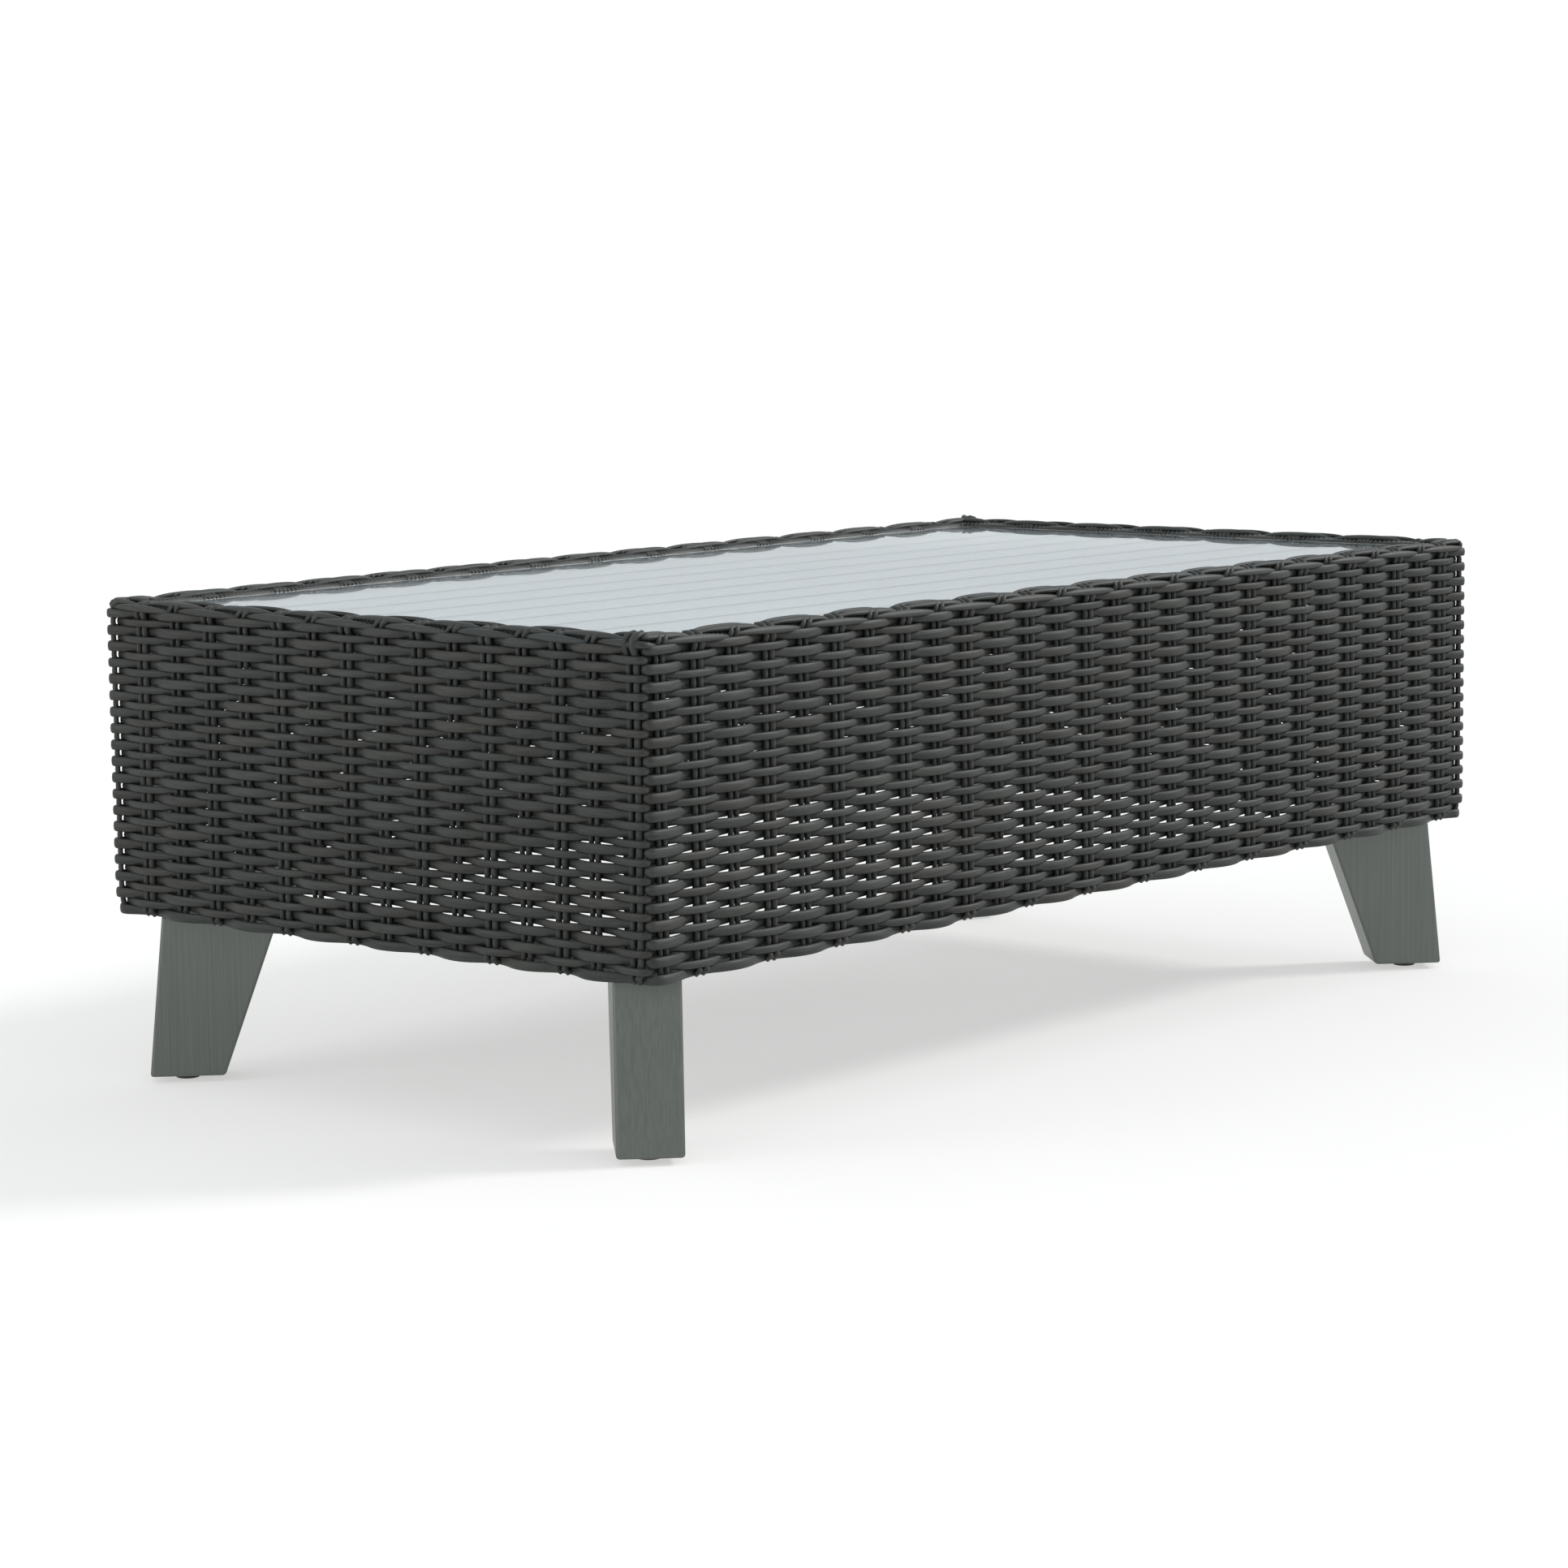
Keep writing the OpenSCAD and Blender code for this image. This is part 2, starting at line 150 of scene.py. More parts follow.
class Strands:
    """Gathers closed tubes of flattened round section into one mesh."""

    def __init__(self, sides=8, squareness=0.8):
        angles = 2 * math.pi * np.arange(sides) / sides
        self.sides = sides
        self.ring_out = np.sign(np.cos(angles)) * np.abs(np.cos(angles)) ** squareness
        self.ring_wide = np.sign(np.sin(angles)) * np.abs(np.sin(angles)) ** squareness
        self.points, self.grain, self.tones = [], [], []
        self.quads, self.triangles = [], []
        self.count = 0

    def add(self, centres, outs, half_out, half_wide, tones):
        """One tube. outs is where the thickness points, and tones is one number or one a ring."""
        centres = np.asarray(centres, float)
        rings = len(centres)
        steps = np.gradient(centres, axis=0)
        tangents = unit(steps)
        outs = unit(outs - tangents * np.sum(outs * tangents, axis=1, keepdims=True))
        wides = np.cross(tangents, outs)
        half_out = np.broadcast_to(half_out, rings)
        half_wide = np.broadcast_to(half_wide, rings)
        tones = np.broadcast_to(tones, rings)
        across_out = half_out[:, None] * self.ring_out[None, :]
        across_wide = half_wide[:, None] * self.ring_wide[None, :]
        points = (centres[:, None, :] + outs[:, None, :] * across_out[..., None]
                  + wides[:, None, :] * across_wide[..., None])
        lengths = np.linalg.norm(np.diff(centres, axis=0), axis=1)
        along = np.concatenate([[0.0], np.cumsum(lengths)])
        along_all = np.repeat(along[:, None], self.sides, axis=1)
        grain = np.stack([along_all, across_out, across_wide], axis=-1)
        tip = 0.45 * np.minimum(half_out, half_wide)
        ends = np.stack([centres[0] - tangents[0] * tip[0], centres[-1] + tangents[-1] * tip[-1]])
        self.points.append(points.reshape(-1, 3))
        self.points.append(ends)
        self.grain.append(grain.reshape(-1, 3))
        self.grain.append(np.array([[0.0, 0.0, 0.0], [along[-1], 0.0, 0.0]]))
        self.tones.append(np.repeat(tones, self.sides))
        self.tones.append(np.array([tones[0], tones[-1]]))
        first = self.count
        row = np.arange(rings - 1)[:, None] * self.sides
        here = np.arange(self.sides)[None, :]
        there = (here + 1) % self.sides
        quads = np.stack([row + here, row + self.sides + here, row + self.sides + there,
                          row + there], axis=-1).reshape(-1, 4)
        self.quads.append(quads + first)
        last = (rings - 1) * self.sides
        tips = first + rings * self.sides
        here, there = here[0], there[0]
        self.triangles.append(np.stack(
            [np.full(self.sides, tips), first + here, first + there], axis=-1))
        self.triangles.append(np.stack(
            [np.full(self.sides, tips + 1), first + last + there, first + last + here], axis=-1))
        self.count += rings * self.sides + 2

    def mesh_object(self, name):
        """The gathered tubes as one object, with the attributes that the material reads."""
        points = np.concatenate(self.points) * MM
        quads = np.concatenate(self.quads)
        triangles = np.concatenate(self.triangles)
        mesh = bpy.data.meshes.new(name)
        mesh.vertices.add(len(points))
        mesh.vertices.foreach_set("co", points.astype(np.float32).ravel())
        corners = np.concatenate([quads.ravel(), triangles.ravel()])
        mesh.loops.add(len(corners))
        mesh.loops.foreach_set("vertex_index", corners.astype(np.int32))
        totals = np.concatenate([np.full(len(quads), 4), np.full(len(triangles), 3)])
        starts = np.concatenate([[0], np.cumsum(totals)[:-1]])
        mesh.polygons.add(len(totals))
        mesh.polygons.foreach_set("loop_start", starts.astype(np.int32))
        mesh.polygons.foreach_set("use_smooth", np.ones(len(totals), bool))
        mesh.update(calc_edges=True)
        grain = mesh.attributes.new("grain", "FLOAT_VECTOR", "POINT")
        grain.data.foreach_set("vector", np.concatenate(self.grain).astype(np.float32).ravel())
        tone = mesh.attributes.new("tone", "FLOAT", "POINT")
        tone.data.foreach_set("value", np.concatenate(self.tones).astype(np.float32))
        mesh.validate()
        made = bpy.data.objects.new(name, mesh)
        bpy.context.scene.collection.objects.link(made)
        return made


def smooth_step(x):
    """Rises from 0 to 1 without a kink."""
    x = np.clip(x, 0.0, 1.0)
    return x * x * (3 - 2 * x)


# ---------------------------------------------------------------- the plan of the weave

ROWS = 37
ROW_PITCH = 7.17
ROW_START = SHELL_BOTTOM + 4.0
BAND_Z = ROW_START + ROW_PITCH * (ROWS - 1)
MIDDLE = 6.5                        # inset of the mid-surface that the stakes stand in
SWING = 4.4                         # how far a row swings to either side of it
FRONT_FLOATS, END_FLOATS = 14, 8
FRONT_START, END_START = 22.5, 1.8
FRONT_PITCH, END_PITCH = 86.5, 84.9
FRONT_SQUEEZE, END_SQUEEZE = 0.0113, 0.075
WIDE_SHARE = 0.51                   # a wide pair's place between its narrow neighbours
PAIR_SPREAD, PAIR_LIMIT = 0.7, 1.5


def narrow_pairs(start, pitch, squeeze, count):
    """Every other pair along a side. They stand a little closer towards the far corner."""
    i = np.arange(count)
    return start + pitch * i - squeeze * i ** 3


def pair_positions():
    """Half the loop, from the front left corner on. The other half is the same turned round.

    A narrow pair stands right on the front right corner and on the back left one.
    """
    front = narrow_pairs(FRONT_START, FRONT_PITCH, FRONT_SQUEEZE, FRONT_FLOATS)
    corner = SIDE_STARTS[1] - 0.5
    side = SIDE_STARTS[1] + narrow_pairs(END_START, END_PITCH, END_SQUEEZE, END_FLOATS)
    narrow = np.concatenate([front, [corner], side[1:]])
    following = np.append(narrow[1:], SIDE_STARTS[2] + FRONT_START)
    wide = narrow + WIDE_SHARE * (following - narrow)
    half = np.stack([narrow, wide], axis=-1).ravel()
    places = np.concatenate([half, half + SIDE_STARTS[2]])
    moved = random.normal(0.0, PAIR_SPREAD, len(places))
    return places + np.clip(moved, -PAIR_LIMIT, PAIR_LIMIT)


PAIR_S = pair_positions()
PAIRS = len(PAIR_S)
FIRST_OF_SIDE = [0, 29, 44, 73]
PAIR_COUNTS = [29, 15, 29, 15]


def pair_s(j):
    """Where pair j stands. j may run below 0 and past the last one."""
    return PAIR_S[j % PAIRS] + PERIMETER * (j // PAIRS)


def is_wide(j):
    """Wide and narrow pairs of stakes take turns round the loop."""
    return j % 2 == 1


def row_ends(side, row):
    """The pairs behind which a row's strand passes from one side's mesh to the next."""
    hidden = 1 - row % 2
    ends = []
    for corner in (side, side + 1):
        j = FIRST_OF_SIDE[corner % 4] + PAIRS * (corner // 4)
        ends.append(j if j % 2 == hidden else j - 1)
    return ends


RINGS, CORNER_RINGS = 8, 18
CORNER_PLACES = SIDE_STARTS + [PERIMETER, PERIMETER + SIDE_STARTS[1]]
# Height of a strand in the middle of a float and where it hides, and its depth.
THICK_STRAND, THIN_STRAND, BAND_STRAND = (8.6, 7.7, 4.4), (6.35, 5.6, 3.6), (7.6, 6.6, 4.4)
# The upper rows are pressed together, so their strands stay high where they hide.
PRESSED_FROM, PRESSED_OVER, PRESSED_BY = 250.0, 40.0, 0.8


def near_corner(start, end):
    """True if this stretch of the loop turns a corner."""
    return any(start < corner + CORNER_RADIUS and end > corner - CORNER_RADIUS
               for corner in CORNER_PLACES)


def strand_section(row, z):
    """The heights and the depth of a row's strand."""
    high, low, deep = THICK_STRAND if row % 2 == 0 else THIN_STRAND
    if row == ROWS - 1:
        high, low, deep = BAND_STRAND
    low += PRESSED_BY * float(smooth_step((z - PRESSED_FROM) / PRESSED_OVER))
    return high, low, deep


def weave_row(strands, side, row):
    """One strand of the weave along one side."""
    thick = row % 2 == 0
    z = ROW_START + ROW_PITCH * row
    high, low, deep = strand_section(row, z)
    first, last = row_ends(side, row)
    s_all, phase_all, tone_all, lift_all, size_all = [], [], [], [], []
    tone = random.random()
    lift, size, tilt = 0.0, 1.0, 0.0
    for j in range(first, last):
        start, end = pair_s(j), pair_s(j + 1)
        rings = CORNER_RINGS if near_corner(start, end) else RINGS
        steps = np.arange(rings) / rings
        front_here = (j % 2 == 0) == thick
        if not front_here:
            tone = random.random()
            lift = random.normal(0.0, 0.18)
            size = 1.0 + random.normal(0.0, 0.03)
            tilt = random.normal(0.0, 0.25)
        phase = steps if front_here else 1.0 - steps
        s_all.append(start + (end - start) * steps)
        phase_all.append(phase)
        tone_all.append(np.full(rings, tone))
        run = steps if front_here else steps - 1.0
        fade = np.cos(0.5 * math.pi * phase) ** 2
        lift_all.append((lift + tilt * run) * fade)
        size_all.append(1.0 + (size - 1.0) * fade)
    s = np.append(np.concatenate(s_all), pair_s(last))
    phase = np.append(np.concatenate(phase_all), 1.0)
    tones = np.append(np.concatenate(tone_all), tone)
    lifts = np.append(np.concatenate(lift_all), 0.0)
    sizes = np.append(np.concatenate(size_all), 1.0)
    wave = np.cos(math.pi * phase)
    depth = SWING * np.sign(wave) * np.abs(wave) ** 0.85
    half_high = 0.5 * sizes * (high + (low - high) * phase ** 2)
    half_deep = 0.5 * (deep + 0.5 * phase ** 2)
    points, normals = place(s, MIDDLE - depth, z + lifts)
    strands.add(points, normals, half_deep, half_high, tones)


def build_weave():
    """The woven rows, one piece a side."""
    pieces = []
    for side, name in enumerate(SIDE_NAMES):
        strands = Strands(sides=10, squareness=0.72)
        for row in range(ROWS):
            weave_row(strands, side, row)
        pieces.append(strands.mesh_object(f"weave_{name}"))
    return pieces


# ---------------------------------------------------------------- stakes

NARROW_RADII, WIDE_RADII = (2.05, 2.3), (2.55, 2.9)
NARROW_GAP, WIDE_GAP = 7.35, 8.1
ARCHED = (43, 87)                   # wide pairs beside a corner, which arch over the rim
CORNER_PAIRS = (28, 72)             # narrow pairs on a corner, close together and pushed out
CORNER_GAP, CORNER_PUSH = 4.2, 1.6
STAKE_PUSH = 0.45


def beside(s, distance):
    """The s at a true distance along the mid-surface from s, which matters on a corner."""
    near, _ = loop(np.array([s - 0.5, s + 0.5]), MIDDLE)
    return s + distance / max(np.linalg.norm(near[1] - near[0]), 0.2)


def stake_levels():
    """Heights of the rings in the straight part of a stake, four a row."""
    return np.arange(ROW_START + ROW_PITCH * 0.5, BAND_Z - ROW_PITCH * 0.6, ROW_PITCH / 4)


def stake_body(j, s):
    """Centres of the straight part of a stake, which the rows push in and out."""
    z = stake_levels()
    push = np.cos(math.pi * (z - ROW_START) / ROW_PITCH)
    inward = -STAKE_PUSH * push if is_wide(j) else STAKE_PUSH * push
    if j in CORNER_PAIRS:
        inward = inward - CORNER_PUSH
    return s + np.zeros(len(z)), MIDDLE + inward, z


def wide_stake(strands, j, s, radius, lean):
    """Turns in under the hem below, and loops over the band, or at a corner over the rim."""
    s_mid, inset_mid, z_mid = stake_body(j, s)
    hem = SHELL_BOTTOM + radius * 0.8
    s_low = s + np.array([0.5, 0.4, 0.2, 0.0, 0.0])
    inset_low = np.array([18.0, 13.0, 7.5, 3.4, 4.6])
    z_low = np.array([hem, hem - 0.2, hem, hem + 3.0, hem + 6.5])
    rise = np.array([-2.6, 0.5, 3.6, 6.6, 8.6, 9.4, 9.0])
    s_top = s + lean * np.array([0.0, 0.1, 0.3, 0.5, 0.8, 1.1, 1.4])
    inset_top = np.array([5.4, 4.2, 4.4, 5.6, 8.2, 12.0, 16.0])
    z_top = BAND_Z + rise
    if j in ARCHED:
        s_top = s + np.array([0.0, 0.0, 0.2, 0.6, 1.6, 3.0, 5.0])
        inset_top = np.array([4.4, 2.4, 1.3, 1.5, 4.0, 9.0, 15.0])
        z_top = BAND_Z + np.array([-2.6, 1.5, 5.2, 8.8, 11.9, 13.2, 11.0])
    points, normals = place(np.concatenate([s_low, s_mid, s_top]),
                            np.concatenate([inset_low, inset_mid, inset_top]),
                            np.concatenate([z_low, z_mid, z_top]))
    flare = np.ones(len(points))
    flare[-6:-1] = 1.04
    strands.add(points, unit(normals + 0.3 * UP), radius * 0.92 * flare, radius * flare,
                random.random())


def narrow_stake(strands, j, s, radius, lean):
    """Ends behind the hem strand below, and comes out slanted above the band."""
    s_mid, inset_mid, z_mid = stake_body(j, s)
    s_low = s + np.zeros(1)
    inset_low = np.array([MIDDLE + 1.0])
    z_low = np.array([SHELL_BOTTOM + 4.0])
    rise = np.array([-2.0, 1.0, 3.4, 5.4, 7.6, 9.4, 10.2, 9.6])
    s_top = s + lean * np.array([0.0, 0.1, 0.3, 0.9, 2.2, 4.2, 6.4, 9.0])
    inset_top = np.array([7.6, 7.2, 5.8, 4.3, 4.0, 5.4, 8.4, 12.5])
    points, normals = place(np.concatenate([s_low, s_mid, s_top]),
                            np.concatenate([inset_low, inset_mid, inset_top]),
                            np.concatenate([z_low, z_mid, BAND_Z + rise]))
    strands.add(points, unit(normals + 0.3 * UP), radius * 0.95, radius, random.random())


def build_stakes():
    """The pairs of upright stakes, one piece a side."""
    pieces = []
    for side, name in enumerate(SIDE_NAMES):
        strands = Strands(sides=8, squareness=0.9)
        for j in range(FIRST_OF_SIDE[side], FIRST_OF_SIDE[side] + PAIR_COUNTS[side]):
            gap, radii = (WIDE_GAP, WIDE_RADII) if is_wide(j) else (NARROW_GAP, NARROW_RADII)
            if j in CORNER_PAIRS:
                gap = CORNER_GAP
            make = wide_stake if is_wide(j) else narrow_stake
            lean = 1.0 + random.normal(0.0, 0.25)
            for hand, radius in zip((-0.5, 0.5), radii):
                off = hand * gap + random.normal(0.0, 0.15)
                radius *= 1 + random.normal(0, 0.02)
                make(strands, j, beside(pair_s(j), off), radius, lean)
        pieces.append(strands.mesh_object(f"stakes_{name}"))
    return pieces


# ---------------------------------------------------------------- rim braid

ARCH_MIDDLE = 13.4                  # the rim's rounded top: its middle, foot and half axes
ARCH_FOOT = RIM_TOP - 11.0
ARCH_REACH = 10.6
ARCH_RISE = 8.6
# Angles of the four layers of floats on the rounded top, from the outer face to the inner one.
OUTER_LOW, OUTER_HIGH, INNER_HIGH, INNER_LOW = 22.0, 62.0, 108.0, 160.0
INNER_PITCH = 84.0
BUNDLE_PITCH = 4.6


def arch(angle, proud):
    """Inset and height of a point on the rounded top of the rim."""
    reach, rise = ARCH_REACH + proud, ARCH_RISE + proud
    return ARCH_MIDDLE - reach * np.cos(angle), ARCH_FOOT + rise * np.sin(angle)


def arch_strand(strands, s, angle, proud, half_out, half_wide, tone):
    """A strand that lies on the rounded top of the rim."""
    inset, z = arch(angle, proud)
    points, normals = place(s, inset, z)
    outs = normals * np.cos(angle)[:, None] + UP[None, :] * np.sin(angle)[:, None]
    strands.add(points, outs, half_out, half_wide, tone)


def lens(strands, middle, half_run, angle, slant, size=1.0):
    """A lens-shaped float of the braid. Its ends tuck in under its neighbours."""
    v = np.linspace(-1.0, 1.0, 17)
    run = half_run * (1.0 + random.normal(0.0, 0.02))
    s = middle + run * v
    angles = np.radians(angle + slant * v + random.normal(0.0, 1.2))
    proud = 1.1 - 1.3 * v ** 2 - 4.2 * np.abs(v) ** 5
    half_wide = size * (1.3 + 1.9 * np.cos(0.5 * math.pi * v * 0.96) ** 1.1)
    half_out = 1.45 + 0.75 * np.cos(0.5 * math.pi * v)
    arch_strand(strands, s, angles, proud, half_out, half_wide, random.random())


def bundle(strands, middle, low_angle, high_angle, lean, count=2):
    """Short strands side by side that slant up between two floats."""
    for i in range(count):
        offset = (i - 0.5 * (count - 1)) * BUNDLE_PITCH
        v = np.linspace(0.0, 1.0, 9)
        s = middle + offset + lean * (v - 0.5)
        angles = np.radians(low_angle + (high_angle - low_angle) * v)
        proud = -1.2 + 1.4 * np.sin(math.pi * v) - 1.4 * np.abs(2 * v - 1) ** 3
        arch_strand(strands, s, angles, proud, 1.8, 2.15, random.random())


def outer_floats(strands, side):
    """The floats seen from outside, low over the wide pairs and high over the narrow ones."""
    first = FIRST_OF_SIDE[side]
    for j in range(first, first + PAIR_COUNTS[side]):
        half_run = 0.98 * 0.5 * (pair_s(j + 1) - pair_s(j - 1))
        if is_wide(j):
            lens(strands, pair_s(j), half_run, OUTER_LOW, -7.0)
        else:
            lens(strands, pair_s(j), half_run, OUTER_HIGH, -9.0, size=1.05)


def inner_floats(strands, side):
    """The floats that face the glass, and the short strands that come up between them."""
    start = SIDE_STARTS[side] + RIM_WIDTH - 4.0
    length = SIDE_LENGTHS[side] - 2 * (RIM_WIDTH - 4.0)
    floats = int(round(length / INNER_PITCH))
    pitch = length / floats
    for i in range(floats):
        middle = start + (i + 0.5) * pitch + random.normal(0.0, 1.0)
        lens(strands, middle, 0.54 * pitch, INNER_LOW, 6.0, size=0.95)
    for i in range(1, floats):
        bundle(strands, start + i * pitch, 170.0, 112.0, 7.0, count=3)
    for i in range(floats + 1):
        middle = start + i * pitch + random.normal(0.0, 1.0)
        half_run = 0.5 * pitch if 0 < i < floats else 0.34 * pitch
        lens(strands, middle, half_run, INNER_HIGH, 8.0, size=1.1)


def build_rim():
    """The braided rim, one piece a side."""
    pieces = []
    for side, name in enumerate(SIDE_NAMES):
        strands = Strands(sides=10, squareness=0.85)
        outer_floats(strands, side)
        inner_floats(strands, side)
        pieces.append(strands.mesh_object(f"rim_braid_{name}"))
    return pieces


# ---------------------------------------------------------------- wraps round the tubes

HEM_START = 190.0                   # the rails are bare behind the leg plates


def wrap(strands, s_from, s_to, pitch, section, half_out, half_wide):
    """Winds a strand round a section, given as closed lists of inset and height."""
    insets, heights = np.array(section).T
    turns = max(1, int(round((s_to - s_from) / pitch)))
    count = len(insets)
    steps = np.arange(turns * count)
    s = s_from + (s_to - s_from) * steps / (turns * count)
    inset = np.tile(insets, turns)
    z = np.tile(heights, turns)
    points, normals = place(s, inset, z)
    middle_inset, middle_z = insets.mean(), heights.mean()
    outs = normals * (middle_inset - inset)[:, None] + UP[None, :] * (z - middle_z)[:, None]
    tones = np.repeat(random.random(turns), count)
    strands.add(points, unit(outs), half_out, half_wide, tones)


def oval(middle, z, reach, rise, count, squareness=0.7):
    """A closed section with flattened sides, as pairs of inset and height."""
    angles = 2 * math.pi * np.arange(count) / count
    cosines = np.sign(np.cos(angles)) * np.abs(np.cos(angles)) ** squareness
    sines = np.sign(np.sin(angles)) * np.abs(np.sin(angles)) ** squareness
    return [(middle + reach * c, z + rise * k) for c, k in zip(cosines, sines)]


def bead_section():
    """The beads below the band: a low loop that shows outside and turns in at the top."""
    outer = [(12.4, 26.0), (10.6, 24.0), (10.4, 20.5), (10.4, 17.0), (10.8, 14.0), (13.0, 12.6)]
    inner = [(14.5, 14.0), (14.5, 20.0)]
    return [(inset, RIM_TOP - drop) for inset, drop in outer + inner]


def hem_section():
    """Round the bottom rail, from the top of its outer side down, under and back up."""
    low = SHELL_BOTTOM + 2.0
    inner = RAIL_INSET + RAIL_DEPTH
    outside = [(12.3, RAIL_TOP + 1.0), (12.0, 166.0), (12.0, 158.0), (12.2, 152.0)]
    below = [(14.0, low), (20.0, low - 0.2), (31.0, low - 0.2), (inner - 1.0, low)]
    inside = [(inner + 1.8, 153.0), (inner + 2.0, 162.0), (inner + 1.8, RAIL_TOP)]
    above = [(inner - 2.0, RAIL_TOP + 2.0), (26.0, RAIL_TOP + 2.0), (16.0, RAIL_TOP + 2.0)]
    return outside + below + inside + above


def build_wraps():
    """The rim's core, the beads below the band, and the wrapped bottom rails."""
    pieces = []
    core = oval(16.4, RIM_TOP - 8.4, 7.6, 3.6, 12)
    for side, name in enumerate(SIDE_NAMES):
        start = SIDE_STARTS[side]
        end = start + SIDE_LENGTHS[side]
        strands = Strands(sides=6, squareness=0.9)
        wrap(strands, start + 8.0, end - 8.0, 5.0, core, 1.6, 2.2)
        wrap(strands, start + 14.0, end - 14.0, 6.6, bead_section(), 1.5, 2.9)
        wrap(strands, start + HEM_START, end - HEM_START, 4.6, hem_section(), 1.7, 2.1)
        pieces.append(strands.mesh_object(f"wraps_{name}"))
    return pieces


# ---------------------------------------------------------------- legs

LEG_CORNERS = {"front_left": (-1, -1), "front_right": (1, -1),
               "back_left": (-1, 1), "back_right": (1, 1)}
# Corners of the slab: distance in from the table's corner along the diagonal, and height.
LEG_OUTLINE = [(31.0, leg_low[2]), (96.0, leg_low[2]), (147.0, leg_high[2]), (45.0, leg_high[2])]
LEG_THICKNESS = 55.0
LEG_ROUNDING = 3.0


def build_leg(name, end_sign, side_sign):
    """The tapered slab across a corner, with rounded edges."""
    made = bmesh.new()
    layers = []
    inward = Vector((-end_sign, -side_sign, 0)).normalized()
    across = Vector((-inward.y, inward.x, 0))
    corner = Vector((end_sign * HALF_LENGTH, side_sign * HALF_WIDTH, 0))
    for hand in (-0.5, 0.5):
        layer = []
        for reach, z in LEG_OUTLINE:
            point = corner + inward * reach + across * (hand * LEG_THICKNESS)
            point.z = z
            layer.append(made.verts.new(point * MM))
        layers.append(layer)
    made.faces.new(layers[0][::-1])
    made.faces.new(layers[1])
    for i in range(4):
        k = (i + 1) % 4
        made.faces.new([layers[0][i], layers[0][k], layers[1][k], layers[1][i]])
    bmesh.ops.recalc_face_normals(made, faces=made.faces)
    bmesh.ops.bevel(made, geom=list(made.edges), offset=LEG_ROUNDING * MM, segments=4, profile=0.5,
                    affect="EDGES", clamp_overlap=True)
    mesh = bpy.data.meshes.new(f"tapered_leg_{name}")
    made.to_mesh(mesh)
    made.free()
    for face in mesh.polygons:
        face.use_smooth = True
    piece = bpy.data.objects.new(f"tapered_leg_{name}", mesh)
    bpy.context.scene.collection.objects.link(piece)
    weighted = piece.modifiers.new("weighted_normals", "WEIGHTED_NORMAL")
    weighted.keep_sharp = False
    return piece


# ---------------------------------------------------------------- materials


class Nodes:
    """Builds one material's node tree with short calls."""

    def __init__(self, name):
        self.material = bpy.data.materials.new(name)
        self.material.use_nodes = True
        self.tree = self.material.node_tree
        self.shader = self.tree.nodes["Principled BSDF"]

    def set(self, **values):
        for key, value in values.items():
            self.shader.inputs[key.replace("_", " ")].default_value = value

    def node(self, kind, **settings):
        made = self.tree.nodes.new(kind)
        for key, value in settings.items():
            setattr(made, key, value)
        return made

    def link(self, source, target):
        self.tree.links.new(source, target)

    def attribute(self, name, output):
        return self.node("ShaderNodeAttribute", attribute_name=name).outputs[output]

    def scaled(self, vector, scale, shift=None):
        mapping = self.node("ShaderNodeMapping")
        self.link(vector, mapping.inputs["Vector"])
        mapping.inputs["Scale"].default_value = scale
        if shift is not None:
            self.link(shift, mapping.inputs["Location"])
        return mapping.outputs["Vector"]

    def noise(self, vector, scale=1.0, detail=2.0, roughness=0.5):
        made = self.node("ShaderNodeTexNoise")
        self.link(vector, made.inputs["Vector"])
        made.inputs["Scale"].default_value = scale
        made.inputs["Detail"].default_value = detail
        made.inputs["Roughness"].default_value = roughness
        return made.outputs["Fac"]

    def math(self, operation, first, second):
        made = self.node("ShaderNodeMath", operation=operation)
        for socket, value in zip(made.inputs, (first, second)):
            if isinstance(value, (int, float)):
                socket.default_value = value
            else:
                self.link(value, socket)
        return made.outputs[0]

    def ramp(self, value, *stops):
        made = self.node("ShaderNodeValToRGB")
        elements = made.color_ramp.elements
        while len(elements) < len(stops):
            elements.new(0.5)
        for element, (position, colour) in zip(elements, stops):
            element.position = position
            element.color = (*colour, 1.0)
        self.link(value, made.inputs["Fac"])
        return made.outputs["Color"]

    def span(self, value, low, high, from_low=0.0, from_high=1.0):
        made = self.node("ShaderNodeMapRange")
        self.link(value, made.inputs["Value"])
        made.inputs["From Min"].default_value = from_low
        made.inputs["From Max"].default_value = from_high
        made.inputs["To Min"].default_value = low
        made.inputs["To Max"].default_value = high
        return made.outputs["Result"]

    def mix(self, factor, first, second, blend="MIX"):
        made = self.node("ShaderNodeMix", data_type="RGBA", blend_type=blend)
        for index, value in ((0, factor), (6, first), (7, second)):
            if isinstance(value, (int, float)):
                made.inputs[index].default_value = value
            elif isinstance(value, tuple):
                made.inputs[index].default_value = (*value, 1.0)
            else:
                self.link(value, made.inputs[index])
        return made.outputs[2]

    def clear_where(self, factor, colour=(1.0, 1.0, 1.0)):
        """Shows a clear surface in place of the shader where factor is 1."""
        clear = self.node("ShaderNodeBsdfTransparent")
        clear.inputs["Color"].default_value = (*colour, 1.0)
        either = self.node("ShaderNodeMixShader")
        self.link(factor, either.inputs[0])
        self.link(self.shader.outputs["BSDF"], either.inputs[1])
        self.link(clear.outputs["BSDF"], either.inputs[2])
        self.link(either.outputs["Shader"], self.tree.nodes["Material Output"].inputs["Surface"])

    def bump(self, height, strength, distance):
        made = self.node("ShaderNodeBump")
        made.inputs["Strength"].default_value = strength
        made.inputs["Distance"].default_value = distance
        self.link(height, made.inputs["Height"])
        self.link(made.outputs["Normal"], self.shader.inputs["Normal"])


